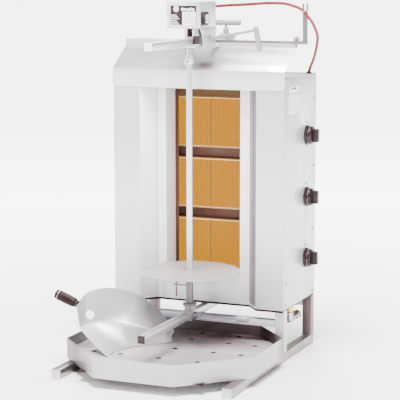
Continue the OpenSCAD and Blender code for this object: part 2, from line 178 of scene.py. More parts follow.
# Painted shade: pulls the base colour towards col inside an ellipsoid round centre (scale sets its inverse size),
# giving patches of shade or dark reflection.
def paint_shade_patch(m, centre, scale, col, amount):
    t = m.node_tree; b = t.nodes["Principled BSDF"]; src = b.inputs["Base Color"].links[0].from_socket
    mp = nd(t, "ShaderNodeMapping"); mp.inputs["Location"].default_value = [-c_*k_ for c_, k_ in zip(centre, scale)]; mp.inputs["Scale"].default_value = scale
    tcn = nd(t, "ShaderNodeTexCoord"); t.links.new(tcn.outputs["Object"], mp.inputs["Vector"])
    ln = nd(t, "ShaderNodeVectorMath", operation="LENGTH"); t.links.new(mp.outputs[0], ln.inputs[0])
    f = rng(t, ln.outputs["Value"], .25, 1, amount, 0); mx = nd(t, "ShaderNodeMix", data_type="RGBA")
    t.links.new(f, mx.inputs[0]); t.links.new(src, mx.inputs[6]); mx.inputs[7].default_value = (*col, 1); t.links.new(mx.outputs[2], b.inputs["Base Color"])
# painted dark reflection: a brown patch on the hood slope beside the spit
paint_shade_patch(M["hood"], (.016, .104, .870), (26, 34, 60), (.13, .085, .08), .85)
# painted shade towards the back of the insert
paint_shade_patch(M["insert"], (.06, .13, .055), (3.2, 5.0, 10), (.19, .125, .132), .86)
# painted shade on the tray's left and front-left outer faces
paint_shade_patch(M["tray"], (-.27, -.22, .05), (5, 3.4, 4), (.07, .05, .055), .9)
# painted shade in the tray's back-right inner corner
paint_shade_patch(M["tray"], (.235, .11, .06), (6.5, 7, 8), (.035, .014, .013), .95)
# painted shade along the tray's back wall
paint_shade_patch(M["tray"], (.06, .157, .062), (3.4, 16, 12), (.06, .03, .034), .85)
def cable_mat():
    m, t, b = new_mat("cable_rubber_look")
    f = noise(t, (1, 1, 1), 350, 3, .6); c = noise(t, (1, 1, 1), 30, 4, .6)
    t.links.new(ramp(t, c, (.3, (.10, .008, .007)), (.7, (.17, .018, .014))), b.inputs["Base Color"])
    b.inputs["Specular IOR Level"].default_value = .25
    t.links.new(rng(t, c, .3, .7, .38, .55), b.inputs["Roughness"]); bump(t, b, f, .3, .0003); return m
M["cable"] = cable_mat()
def film(name, base, rough=.35):
    m, t, b = new_mat(name)
    c = noise(t, (1, 1, 1), 40, 5, .6)
    t.links.new(ramp(t, c, (.3, [x*.93 for x in base]), (.7, base)), b.inputs["Base Color"]); t.links.new(rng(t, c, .3, .7, rough-.05, rough+.1), b.inputs["Roughness"]); b.inputs["Specular IOR Level"].default_value = .15; return m
M["film"] = film("label_film_look", (.82, .81, .82)); M["ink"] = film("label_ink_look", (.02, .012, .014)); M["inkgrey"] = film("label_grey_look", (.2, .19, .2)); M["lamp"] = film("lamp_look", (.75, .68, .68), .2)
def glow(name, c0, c1, strength, scale=420):
    """Ceramic tile glowing behind the mesh: rows of small flame ports, with patchy brightness."""
    m, t, b = new_mat(name)
    v = nd(t, "ShaderNodeTexVoronoi"); v.inputs["Scale"].default_value = scale; v.inputs["Randomness"].default_value = .15
    t.links.new(coords(t, (1, 1, 1)), v.inputs["Vector"])
    big = noise(t, (1, 1, 1), 9, 3, .5)
    k = mul(t, rng(t, v.outputs["Distance"], .1, .6, 0, 1), rng(t, big, .35, .7, -.15, .15), "ADD")
    col = ramp(t, k, (0, c0), (1, c1))
    dk = nd(t, "ShaderNodeMix", data_type="RGBA", blend_type="MULTIPLY"); dk.inputs[0].default_value = 1; t.links.new(col, dk.inputs[6]); dk.inputs[7].default_value = (.1, .05, .02, 1); b.inputs["Specular IOR Level"].default_value = .1
    t.links.new(dk.outputs[2], b.inputs["Base Color"]); t.links.new(col, b.inputs["Emission Color"]); b.inputs["Emission Strength"].default_value = strength
    t.links.new(rng(t, big, .3, .7, .6, .8), b.inputs["Roughness"]); bump(t, b, v.outputs["Distance"], .5, .001); return m
M["edge"] = steel("burner_edge_look", (.5, .3, .12), .4, (60, 60, 60), metal=.7)
M["tile"] = glow("glowing_tile_look", (.9, .36, 0), (1, .46, 0), 1.25)
def wire_mat():
    m, t, b = new_mat("glowing_wire_look")
    c = noise(t, (1, 1, 1), 60, 3, .6)
    col = ramp(t, c, (.3, (.50, .15, 0)), (.7, (.60, .19, 0))); t.links.new(ramp(t, c, (.3, (.04, .015, .002)), (.7, (.05, .02, .003))), b.inputs["Base Color"]); t.links.new(col, b.inputs["Emission Color"]); b.inputs["Emission Strength"].default_value = .7; b.inputs["Specular IOR Level"].default_value = .15
    t.links.new(rng(t, c, .3, .7, .5, .7), b.inputs["Roughness"]); return m
M["wire"] = wire_mat()
M["wiredark"] = steel("scorched_wire_look", (.12, .055, .012), .6, (60, 60, 60), metal=.3, smudge=.1)

# edge rounding and shading for carried-over nodes
def smooth_group():
    g = bpy.data.node_groups.new("round_shading", "GeometryNodeTree")
    g.interface.new_socket("Geometry", in_out="INPUT", socket_type="NodeSocketGeometry"); g.interface.new_socket("Geometry", in_out="OUTPUT", socket_type="NodeSocketGeometry")
    i = g.nodes.new("NodeGroupInput"); o = g.nodes.new("NodeGroupOutput")
    s1 = g.nodes.new("GeometryNodeSetShadeSmooth"); s1.domain = "FACE"
    s2 = g.nodes.new("GeometryNodeSetShadeSmooth"); s2.domain = "EDGE"; s2.inputs["Shade Smooth"].default_value = False
    ang = g.nodes.new("GeometryNodeInputMeshEdgeAngle"); cmp = g.nodes.new("FunctionNodeCompare"); cmp.data_type = "FLOAT"; cmp.operation = "GREATER_THAN"; cmp.inputs[1].default_value = math.radians(27)
    g.links.new(ang.outputs[0], cmp.inputs[0]); g.links.new(cmp.outputs[0], s2.inputs["Selection"])
    g.links.new(i.outputs[0], s1.inputs[0]); g.links.new(s1.outputs[0], s2.inputs[0]); g.links.new(s2.outputs[0], o.inputs[0]); return g
SG = smooth_group()
def finish_mesh(o, width=.0006, seg=2, weld=True):
    if weld: w_ = o.modifiers.new("weld", "WELD"); w_.merge_threshold = 1e-5
    if width:
        b = o.modifiers.new("edge", "BEVEL"); b.width = width; b.segments = seg; b.limit_method = "ANGLE"; b.angle_limit = math.radians(38); b.harden_normals = False; b.use_clamp_overlap = True
    s = o.modifiers.new("shade", "NODES"); s.node_group = SG
def paint(o, m):
    o.data.materials.clear(); o.data.materials.append(M[m])
# bottom_panel takes the near-black underside look as painted shade
LOOK = dict(skids="tube", skid_end_plates="bright", front_uprights="sheet", rear_uprights="tubedark", cross_bars="sheet", lower_arm="bright", upper_arm="bright", arm_end_caps="dark", arm_post="bright",
    left_side_panel="sheet", right_side_panel="sheet", back_panel="sheet", top_panel="roof", bottom_panel="under", front_panels="sheet", wings="wing", lower_front_panel="sheet", burner_chamber="chamber", hood="hood",
    panel_screws="screw", side_label="film", burner_bodies="burner", top_burner_screen="tile", middle_burner_screen="tile", bottom_burner_screen="tile", gas_manifold="brass", gas_inlet="brass", gas_elbow="nickel", knob_bezels="dark",
    top_spindle="screw", middle_spindle="screw", bottom_spindle="screw", top_knob="dark", middle_knob="dark", bottom_knob="dark", spit_bar="spit", spit_collar="bright", meat_plate="plate", spit_foot="rod", lock_pin="rod",
    lower_slider="slider", lower_clamp="grip", carriage_sleeve="bright", carriage_plate="sheet", motor_box="sheet", gear_motor="cast", motor_label="film", switch_bezel="dark", rocker_switch="dark", drive_coupling="dark", side_clamp="grip",
    cable_bracket="rod", wing_nut="screw", cable_gland="dark", motor_cable="cable", top_clamp="grip", drip_tray="tray", tray_insert="insert", shovel_blade="blade", shovel_handle="darkgrip")
WIDTH = dict(skids=.0025, front_uprights=.0025, rear_uprights=.0025, cross_bars=.002, lower_arm=.0018, upper_arm=.0018, hood=.0006, meat_plate=.0015, motor_box=.002, drip_tray=.0008, top_clamp=.0012, spit_bar=.0012, lower_slider=.0012, carriage_sleeve=.0012, motor_cable=0, arm_post=.001, carriage_plate=.0005, wings=.0005, tray_insert=.0004, shovel_blade=0)
for n, o in N.items():
    paint(o, LOOK[n]); finish_mesh(o, WIDTH.get(n, .0005))

# ---------------------------------------------------------------- helpers for pieces
def piece(o, body, mat, reps=(), width=0, seg=2, shade=True):
    if mat:
        for m_ in ([mat] if isinstance(mat, str) else mat): o.data.materials.append(M[m_])
    if width or shade: finish_mesh(o, width, seg, weld=False)
    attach(o, body)
    if reps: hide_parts(*reps)
    return o
class Build:
    """Collects closed solids with a material index each, in metres."""
    def __init__(s): s.v = []; s.f = []; s.m = []
    def add(s, vs, fs, mi=0):
        k = len(s.v); s.v += [tuple(x) for x in vs]; s.f += [tuple(i+k for i in f) for f in fs]; s.m += [mi]*len(fs)
    def box(s, x0, x1, y0, y1, z0, z1, mi=0):
        s.add([(x0,y0,z0),(x1,y0,z0),(x1,y1,z0),(x0,y1,z0),(x0,y0,z1),(x1,y0,z1),(x1,y1,z1),(x0,y1,z1)], [(0,3,2,1),(4,5,6,7),(0,1,5,4),(1,2,6,5),(2,3,7,6),(3,0,4,7)], mi)
    def lathe(s, prof, origin, axis, n=48, mi=0, mis=None, shape=None):
        """prof: (distance along axis, radius) pairs; closed at both ends."""
        ax = Vector(axis).normalized(); e1 = ax.orthogonal().normalized()
        if abs(ax.z) < .5: e1 = Vector((0, 0, 1)); e1 = (e1-ax*e1.dot(ax)).normalized()
        e2 = ax.cross(e1); O = Vector(origin); vs = []; fs = []; ms = []
        for (h, r_) in prof:
            for k in range(n):
                th = 2*math.pi*k/n; rr = r_*(shape(th, h) if shape else 1)
                vs.append(O+ax*h+e1*(rr*math.cos(th))+e2*(rr*math.sin(th)))
        for i in range(len(prof)-1):
            for k in range(n): fs.append((i*n+k, i*n+(k+1) % n, (i+1)*n+(k+1) % n, (i+1)*n+k)); ms.append(mis[i] if mis else mi)
        fs.append(tuple(range(n-1, -1, -1))); ms.append(mis[0] if mis else mi)
        L = (len(prof)-1)*n; fs.append(tuple(L+k for k in range(n))); ms.append(mis[-1] if mis else mi)
        k0 = len(s.v); s.v += [tuple(x) for x in vs]; s.f += [tuple(i+k0 for i in f) for f in fs]; s.m += ms
    def tube(s, pts, rad, n=14, mi=0, ref=None):
        P = [Vector(q) for q in pts]; T = [((P[min(i+1, len(P)-1)]-P[max(i-1, 0)])).normalized() for i in range(len(P))]
        nrm = Vector(ref) if ref else T[0].orthogonal(); vs = []; fs = []
        for i, q in enumerate(P):
            nrm = (nrm-T[i]*nrm.dot(T[i])).normalized(); bn = T[i].cross(nrm); rr = rad[i] if hasattr(rad, "__len__") else rad
            for k in range(n): th = 2*math.pi*k/n; vs.append(q+nrm*(rr*math.cos(th))+bn*(rr*math.sin(th)))
        for i in range(len(P)-1):
            for k in range(n): fs.append((i*n+k, i*n+(k+1) % n, (i+1)*n+(k+1) % n, (i+1)*n+k))
        fs.append(tuple(range(n-1, -1, -1))); fs.append(tuple((len(P)-1)*n+k for k in range(n))); s.add(vs, fs, mi)
    def prism(s, poly, z0, z1, frame_, mi=0):
        """poly in the (u, v) plane of frame_ = (origin, u, v, w), from w = z0 to z1."""
        O, u, v, w_ = [Vector(q) for q in frame_]; n = len(poly)
        vs = [O+u*x+v*y+w_*z0 for x, y in poly]+[O+u*x+v*y+w_*z1 for x, y in poly]
        s.add(vs, [tuple(range(n-1, -1, -1)), tuple(range(n, 2*n))]+[(i, (i+1) % n, n+(i+1) % n, n+i) for i in range(n)], mi)
    def obj(s, name):
        o = mesh_obj(name, s.v, s.f)
        for q, mi in zip(o.data.polygons, s.m): q.material_index = mi
        bm = bmesh.new(); bm.from_mesh(o.data); bmesh.ops.recalc_face_normals(bm, faces=bm.faces); bm.to_mesh(o.data); bm.free(); return o
def hexa(rad): return lambda th, h: math.cos(math.pi/6)/math.cos((th % (math.pi/3))-math.pi/6)
def rrect(x0, x1, y0, y1, r_, n=6):
    out_ = []
    for cx_, cy_, a0 in ((x1-r_, y1-r_, 0), (x0+r_, y1-r_, 90), (x0+r_, y0+r_, 180), (x1-r_, y0+r_, 270)):
        for k in range(n+1): th = math.radians(a0+90*k/n); out_.append((cx_+r_*math.cos(th), cy_+r_*math.sin(th)))
    return out_
def cyc(c, r_, n=20): return [(c[0]+r_*math.cos(2*math.pi*k/n), c[1]+r_*math.sin(2*math.pi*k/n)) for k in range(n)]
XZ = lambda y: ((0, y, 0), (1, 0, 0), (0, 0, 1), (0, -1, 0))     # faces -Y
YZ = lambda x: ((x, 0, 0), (0, 1, 0), (0, 0, 1), (1, 0, 0))      # faces +X

# ---------------------------------------------------------------- burner screens
def strands(B, za, zb, mi):
    """Crossed diagonal strands, the front layer one way and the back layer the other."""
    pitch = .0066; x0, x1 = -.1128, .1128
    for sgn, ya, yb in ((1, .19975, .20035), (-1, .2004, .2010)):
        k = .78*sgn; c = -(x1-x0)-(zb-za)
        while c < (x1-x0)+(zb-za):
            pts = []
            for x in (x0, x1):
                z = k*(x-x0)+c+za
                if za <= z <= zb: pts.append((x, z))
            for z in (za, zb):
                x = (z-za-c)/k+x0
                if x0 < x < x1: pts.append((x, z))
            if len(pts) >= 2:
                (ax_, az_), (bx_, bz_) = min(pts), max(pts); L = math.hypot(bx_-ax_, bz_-az_)
                if L > .004:
                    h = .00085; px_, pz_ = -(bz_-az_)/L*h, (bx_-ax_)/L*h
                    B.add([(ax_+px_, ya, az_+pz_), (ax_-px_, ya, az_-pz_), (bx_-px_, ya, bz_-pz_), (bx_+px_, ya, bz_+pz_), (ax_+px_, yb, az_+pz_), (ax_-px_, yb, az_-pz_), (bx_-px_, yb, bz_-pz_), (bx_+px_, yb, bz_+pz_)],
                          [(0,1,2,3),(7,6,5,4),(0,4,5,1),(1,5,6,2),(2,6,7,3),(3,7,4,0)], mi)
            c += pitch
BZ = {"top": .6205, "middle": .4345, "bottom": .2485}
for nm, z0 in BZ.items():
    lo, hi = z0-.003, z0+.146; B = Build()
    for x0, x1 in ((-.115, -.0008), (.0008, .115)):
        B.box(x0, x1, .2016, .204, lo, hi, 0)
    B.box(-.0008, .0008, .2032, .204, lo, hi, 2)
    strands(B, lo+.002, hi-.002, 1)
    if nm == "top": strands(B, hi, .7950, 3)
    B.box(-.0052, -.0038, .1994, .1997, lo+.002, hi-.002, 3)
    # folded edge frame
    for q in ((-.115, -.1128, lo, hi), (.1128, .115, lo, hi), (-.1128, .1128, lo, lo+.0022), (-.1128, .1128, hi-.0022, hi)):
        B.box(q[0], q[1], .1996, .2012, q[2], q[3], 2)
    o = B.obj(nm+"_screen_detail"); piece(o, "frame", ["tile", "wire", "edge", "wiredark"], [nm+"_burner_screen"], shade=False)

B = Build()
for sx in (-1, 1): B.box(*sorted((sx*.1085, sx*.1185)), .1968, .1990, .2458, .8100, 0)
piece(B.obj("burner_side_rails"), "frame", ["chamber"], width=.0003)
B = Build(); B.box(-.011, .011, -.314, -.312, .124, .146, 0); B.box(.016, .038, -.314, -.312, .931, .953, 1)
piece(B.obj("arm_end_plugs"), "frame", ["dark", "wing"], ["arm_end_caps"], width=.0006)
# ---------------------------------------------------------------- knobs, bezels, marks
KZ = {"top": .655, "middle": .468, "bottom": .281}
B = Build()
for z in KZ.values():
    o_ = (.273, .288, z)
    B.lathe([(.0002, .0285), (.002, .0298), (.0045, .0300), (.0062, .0292), (.0075, .0270), (.0079, .0225), (.0074, .0195), (.0052, .0180), (.0048, .0060)], o_, (1, 0, 0), 64, 0)
    for k in range(9):                              # setting marks round the dial
        th = math.radians(-60+k*30); c_, s_ = math.cos(th), math.sin(th); uu = Vector((0, s_, c_)); vv = Vector((0, c_, -s_))
        B.prism([(-.0006, .0238), (.0006, .0238), (.0006, .0268), (-.0006, .0268)], .0070, .0081, ((.273, .288, z), vv, uu, (1, 0, 0)), 1)
    B.lathe([(0, .0032), (.0008, .0034), (.0014, .0028)], (.273, .288, z+.040), (1, 0, 0), 24, 0)
piece(B.obj("knob_bezel_detail"), "frame", ["dark", "inkgrey"], ["knob_bezels"])
for nm, z in KZ.items():
    B = Build(); O = (.273, .288, z)
    B.lathe([(.0126, .0050), (.0126, .0262), (.0136, .0272), (.0165, .0268), (.0190, .0250), (.0202, .0235), (.0206, .0215), (.0206, .0195)], O, (1, 0, 0), 72, 0, shape=lambda th, h: 1-.012*(math.cos(24*th) > .2) if h < .019 else 1)
    # grip bar with softened ends
    poly = rrect(-.0085, .0085, -.0205, .0205, .0055, 6)
    for k, (g0, g1, sc) in enumerate(((.0204, .0330, 1.0), (.0330, .0366, .96), (.0366, .0378, .88))):
        B.prism([(x*sc, y*sc) for x, y in poly], g0, g1, ((.273, .288, z), (0, 1, 0), (0, 0, 1), (1, 0, 0)), 0)
    B.prism([(-.0008, .002), (.0008, .002), (.0008, .0172), (-.0008, .0172)], .0377, .0381, ((.273, .288, z), (0, 1, 0), (0, 0, 1), (1, 0, 0)), 1)
    piece(B.obj(nm+"_knob_detail"), nm+"_knob", ["dark", "lamp"], [nm+"_knob"], width=.0006)

# ---------------------------------------------------------------- labels
B = Build()
B.prism(rrect(.116, .221, .726, .814, .004), 0, .0004, YZ(.273), 0)
def yb(y0, y1, z0, z1, mi, t0=.0004, t1=.00055): B.prism([(y0, z0), (y1, z0), (y1, z1), (y0, z1)], t0, t1, YZ(.273), mi)
for q in ((.1175, .2195, .8105, .8130), (.1175, .2195, .7880, .7905), (.1175, .1220, .7905, .8105), (.2150, .2195, .7905, .8105)): yb(*q, 1)
yb(.138, .188, .8010, .8070, 1); yb(.150, .160, .8025, .8055, 0, .00055, .0006)
for q in ((.1175, .1205, .7290, .7880), (.2165, .2195, .7290, .7880)): yb(*q, 2)
yb(.1175, .2195, .7270, .7290, 1)
for k, z in enumerate((.7800, .7715, .7630, .7545, .7460, .7375)):
    yb(.1225, .2145, z-.0004, z+.0005, 2); yb(.126, .148+.006*(k % 2), z+.0028, z+.0042, 2); yb(.166, .204-.008*(k % 3), z+.0028, z+.0042, 2)
piece(B.obj("side_label_detail"), "frame", ["film", "ink", "inkgrey"], ["side_label"], shade=False)
B = Build()
B.prism(rrect(-.040, .041, .990, 1.046, .002), 0, .0004, XZ(-.014), 0)
def xb(x0, x1, z0, z1, mi, t0=.0004, t1=.00052): B.prism([(x0, z0), (x1, z0), (x1, z1), (x0, z1)], t0, t1, XZ(-.014), mi)
xb(-.0397, .0407, 1.0285, 1.0457, 1); xb(-.0397, -.0028, .9903, 1.0285, 1); xb(.0384, .0407, .9903, 1.0285, 1)
B.prism(cyc((-.0222, 1.0362), .0086, 28), .00052, .0006, XZ(-.014), 3); B.prism(cyc((-.0222, 1.0362), .0060, 24), .0006, .00066, XZ(-.014), 1); B.prism(cyc((-.0222, 1.0362), .0048, 20), .00066, .0007, XZ(-.014), 3)
for k in range(6): xb(-.0382, -.0125-.004*(k % 3), .9927+k*.0050, .9944+k*.0050, 0, .00052, .0006)
for k in range(5): xb(-.0060+k*.0083, .0008+k*.0083, 1.0310+.0012*(k % 2), 1.0392-.0010*(k % 3), 0, .00052, .0006)
for k in range(5): xb(.001, .034-.005*(k % 3), .9955+k*.0062, .9967+k*.0062, 2)
for x in (.0155, .0280): xb(x, x+.0006, .993, 1.026, 2)
piece(B.obj("motor_label_detail"), "carriage", ["film", "ink", "inkgrey", "lamp"], ["motor_label"], shade=False)

# ---------------------------------------------------------------- rocker switch
B = Build(); fr = ((0, 0, 0), (0, 1, 0), (0, 0, 1), (1, 0, 0)); nseg = 12
prof = [(.0010+.0010*abs(math.cos(math.pi*k/nseg)), .993+.030*k/nseg) for k in range(nseg+1)]
poly = [(z, .0574) for _, z in (prof[0], prof[-1])]
front = [(z, .0582+x) for x, z in prof]
ring = [(.993, .0574), (1.023, .0574)]+[(z, x) for z, x in reversed(front)]
B.prism(ring, -.003, .038, ((0, 0, 0), (0, 0, 1), (1, 0, 0), (0, 1, 0)), 0)
B.prism(cyc((1.008, .0575), .0021, 20), -.003, .038, ((0, 0, 0), (0, 0, 1), (1, 0, 0), (0, 1, 0)), 0)
for k in range(3):
    z = .9995+k*.0085; B.prism(rrect(.009, .033, z-.0031, z+.0031, .0026, 5), .0594, .0604, ((0, 0, 0), (0, 1, 0), (0, 0, 1), (1, 0, 0)), 1)
piece(B.obj("rocker_detail"), "rocker", ["dark", "lamp"], ["rocker_switch"], width=.0004)

# ---------------------------------------------------------------- panel screws
B = Build()
for sx in (-1, 1):
    for y, z in ((.350, .762), (.350, .557), (.350, .364), (.350, .167), (.106, .231), (.106, .171)):
        O = (sx*.273, y, z)
        B.lathe([(.0000, .0046), (.0004, .0046), (.0005, .0040), (.0014, .0038), (.0021, .0030), (.0024, .0018), (.0024, .0004)], O, (sx, 0, 0), 28, 0)
        for q in (((-.0022, -.0004), (.0022, .0004)), ((-.0004, -.0022), (.0004, .0022))):
            (a0, b0), (a1, b1) = q; B.prism([(a0, b0), (a1, b0), (a1, b1), (a0, b1)], .0022, .00245, (O, (0, 1, 0), (0, 0, 1), (sx, 0, 0)), 1)
piece(B.obj("panel_screw_detail"), "frame", ["screw", "dark"], ["panel_screws"])

# ---------------------------------------------------------------- wing nut
B = Build(); O = (.303, .100, .9464)
B.lathe([(0, .0058), (.0006, .0062), (.004, .0060), (.0062, .0050), (.0066, .0032)], O, (0, 0, 1), 32, 0)
for sx in (-1, 1):
    pts = [(sx*.0045, .0008), (sx*.0075, .0015), (sx*.0104, .0060), (sx*.0110, .0092), (sx*.0100, .0106), (sx*.0084, .0104), (sx*.0062, .0076), (sx*.0042, .0060)]
    B.prism(pts if sx > 0 else pts[::-1], -.001, .001, (O, (1, 0, 0), (0, 0, 1), (0, -1, 0)), 0)
piece(B.obj("wing_nut_detail"), "wing_nut", ["screw"], ["wing_nut"], width=.0004)

# ---------------------------------------------------------------- motor cable, bent between the housing and the carriage
PTS = [(30,113,1042),(34,124,1042),(50,133,1042),(93,128,1045),(136,122,1047),(179,115,1050),(219,108,1052),(267,99,1051),(304,94,1042),(321,93,1034),(331,92.6,1024),(338.9,95.2,1014),(340.2,104,1009),(340,126,999),(339.5,155,981),(336,190,956),(324,222,932),(309,254,907),(289,292,880),(268,328,856),(256,347,837)]
def crom(P, n):
    P = [Vector(q)/1000 for q in P]; o_ = []
    for i in range(len(P)-1):
        a_, b_, c_, d_ = P[max(i-1, 0)], P[i], P[i+1], P[min(i+2, len(P)-1)]
        for j in range(n if i < len(P)-2 else n+1):
            t_ = j/n; o_.append(.5*((2*b_)+(c_-a_)*t_+(2*a_-5*b_+4*c_-d_)*t_*t_+(3*b_-a_-3*c_+d_)*t_**3))
    return o_
route = crom(PTS, 10)
B = Build(); B.tube(route, .00440, 20, 0); cab = B.obj("motor_cable_detail")
cab.data.materials.append(M["cable"]); finish_mesh(cab, 0, 1, weld=False)
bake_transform(cab)
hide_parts("motor_cable")
B = Build()
B.lathe([(0, .0078), (.0008, .0080), (.0035, .0080), (.0035, .0070), (.006, .0066), (.0078, .0056)], (.030, .105, 1.042), (0, 1, 0), 32, 0)
piece(B.obj("cable_gland_detail"), "carriage", ["dark"], ["cable_gland"])
B = Build()
B.lathe([(0, .0095), (.0012, .0096), (.002, .0086), (.0035, .0078), (.005, .0062)], (.2565, .3465, .837), (0, 0, 1), 32, 0)
piece(B.obj("roof_grommet"), "frame", ["dark"])
# clip that holds the cable against the fork
B = Build(); c0 = Vector(route[95]); t0 = (Vector(route[96])-Vector(route[94])).normalized()
B.lathe([(-.004, .0047), (-.004, .0054), (.004, .0054), (.004, .0047)], c0, t0, 28, 0)
piece(B.obj("cable_clip"), "carriage", ["screw"])

# ---------------------------------------------------------------- shovel
def cr1(P, t_):
    n = len(P)-1; i = min(int(t_*n), n-1); f = t_*n-i; a_, b_, c_, d_ = [Vector(P[k]) for k in (max(i-1, 0), i, i+1, min(i+2, n))]
    return .5*((2*b_)+(c_-a_)*f+(2*a_-5*b_+4*c_-d_)*f*f+(3*b_-a_-3*c_+d_)*f**3)
CREASE = [(-258,-182,116),(-232,-135,124),(-165,-108,123),(-95,-72,106),(-45,-8,74)]
RIM = [(-270,-180,184),(-262,-122,210),(-222,-100,222),(-181,-60,214),(-144,0,182),(-112,34,146),(-72,32,106),(-41,6,84)]
def arc_(t_):
    an = math.radians(193-85*t_); rr = 166+16*t_+14*t_**8
    return Vector((26+rr*math.cos(an), -212+rr*math.sin(an), 58.2+(max(0, t_-.9)*60)))
nc, nr_lo, nr_hi = 96, 20, 20; V = []; F = []
for i in range(nr_lo+nr_hi+1):
    for j in range(nc+1):
        t_ = j/nc; lo_, cm, hi_ = arc_(t_), cr1(CREASE, t_), cr1(RIM, t_)
        if i <= nr_lo:
            u = i/nr_lo; q = lo_+(cm-lo_)*u+Vector((0, 0, -6*math.sin(math.pi*u)*(1-t_)))
        else:
            u = (i-nr_lo)/nr_hi; q = cm+(hi_-cm)*u
        V.append(q)
# soften the crease a little
S = nc+1; V2 = [v.copy() for v in V]
for it in range(1):
    W_ = [v.copy() for v in V2]
    for i in range(nr_lo-1, nr_lo+2):
        for j in range(S): V2[i*S+j] = (W_[(i-1)*S+j]+W_[i*S+j]*2+W_[(i+1)*S+j])/4
V = [v/1000+Vector((-.35, .45, -.5))*.0009 for v in V2]
for i in range(nr_lo+nr_hi):
    for j in range(nc): F.append((i*S+j, (i+1)*S+j, (i+1)*S+j+1, i*S+j+1))
blade = mesh_obj("shovel_blade_detail", V, F)
bm = bmesh.new(); bm.from_mesh(blade.data)
# hanging hole
hc = Vector((-.245, -.140, .148))
cut = bpy.data.meshes.new("cutter"); cb = bmesh.new()
nrm_ = Vector((.91, -.33, .24)).normalized(); e1 = Vector((0, 0, 1)); e1 = (e1-nrm_*e1.dot(nrm_)).normalized(); e2 = nrm_.cross(e1)
bm.to_mesh(blade.data); bm.free()
sol = blade.modifiers.new("thick", "SOLIDIFY"); sol.thickness = .0013; sol.offset = 0
C = Build(); C.prism([(.0125*math.cos(2*math.pi*k/40), .0135*math.sin(2*math.pi*k/40)) for k in range(40)], -.03, .03, (hc, e2, e1, nrm_)); cutter = C.obj("hole_cutter")
bo = blade.modifiers.new("hole", "BOOLEAN"); bo.operation = "DIFFERENCE"; bo.object = cutter; bo.solver = "EXACT"
bpy.context.view_layer.update()
dg = bpy.context.evaluated_depsgraph_get(); me = bpy.data.meshes.new_from_object(blade.evaluated_get(dg))
bpy.data.objects.remove(cutter); blade.modifiers.clear(); blade.data = me
piece(blade, "shovel", ["blade"], ["shovel_blade"])
for q in blade.data.polygons: q.material_index = 0
# painted highlight: a thin pale tube along the blade's crease for its bright ridge line
B = Build(); cp = [V[nr_lo*S+j]+Vector((.0004, -.0006, .0006)) for j in range(4, nc-6, 2)]
B.tube(cp, .0013, 10, 0); piece(B.obj("shovel_crease_highlight"), "shovel", ["wing"])
# handle: ferrule, turned grip, end cap and one steel band
ha = Vector((-.269, -.172, .184)); hd = Vector((-math.sin(math.radians(70)), 0, math.cos(math.radians(70))))
B = Build()
B.lathe([(0, .0085), (.0005, .0105), (.0085, .0112), (.0095, .0108)], ha, hd, 48, 0)
B.lathe([(.009, .0110), (.0098, .0134), (.014, .0142), (.028, .0149), (.046, .0150), (.060, .0148), (.0680, .0144), (.0698, .0136), (.0698, .0110)], ha, hd, 56, 0)
B.lathe([(.0700, .0112), (.0702, .0134), (.0716, .0139), (.0734, .0137), (.0746, .0124), (.0752, .0095), (.0752, .003)], ha, hd, 48, 0)
for k in range(1): B.lathe([(.064+k*.026, .01485), (.0642+k*.026, .0149), (.0650+k*.026, .0149), (.0652+k*.026, .0146)], ha, hd, 48, 1)
piece(B.obj("shovel_handle_detail"), "shovel", ["darkgrip", "blade", "lamp"], ["shovel_handle"])

# ---------------------------------------------------------------- gas fittings
G = (.236, .244)
B = Build()
B.lathe([(0, .0150), (.001, .0165), (.0130, .0165), (.0150, .0150), (.0160, .0140)], (*G, .154), (0, 0, -1), 40, 1)
B.lathe([(.0158, .0128), (.0175, .0138), (.0330, .0138), (.0345, .0126), (.0360, .0118)], (*G, .154), (0, 0, -1), 40, 0)
B.lathe([(.010, .0078), (.040, .0078), (.0405, .0086), (.044, .0086), (.0445, .0080), (.056, .0080)], (*G, .138), (0, 1, 0), 32, 0)
B.lathe([(.0560, .0122), (.0568, .0138), (.0712, .0138), (.0720, .0122)], (*G, .138), (0, 1, 0), 48, 1, shape=hexa(1))
B.lathe([(.0720, .0078), (.0775, .0078), (.0778, .0062), (.0779, .0030)], (*G, .138), (0, 1, 0), 32, 2)
piece(B.obj("gas_inlet_detail"), "frame", ["brass", "bronze", "dark"], ["gas_inlet"], width=.0003)
B = Build()
B.lathe([(0, .0118), (.0012, .0129), (.0200, .0129), (.0222, .0120)], (*G, .118), (0, 0, -1), 40, 0)
prof = [(.0127*math.sin(math.radians(k*9)), .0127*math.cos(math.radians(k*9))) for k in range(0, 10)]+[(.01268, .0008)]
B.lathe([(-.004, .0127)]+prof, (*G, .0965), (0, 0, -1), 40, 0)
B.lathe([(.004, .0108), (.056, .0108), (.0572, .0118), (.0588, .0118)], (*G, .096), (0, 1, 0), 40, 0)
B.lathe([(.0582, .0130), (.0592, .0149), (.0728, .0149), (.0738, .0132)], (*G, .096), (0, 1, 0), 48, 1, shape=hexa(1))
pts_ = [(.0738, .0066)]
for k in range(8): z_ = .0744+k*.00145; pts_ += [(z_, .0070), (z_+.0006, .0075), (z_+.0009, .0075)]
B.lathe(pts_+[(.0860, .0066), (.0860, .0050)], (*G, .096), (0, 1, 0), 32, 0)
piece(B.obj("gas_elbow_detail"), "frame", ["nickel", "bronze"], ["gas_elbow"], width=.0003)
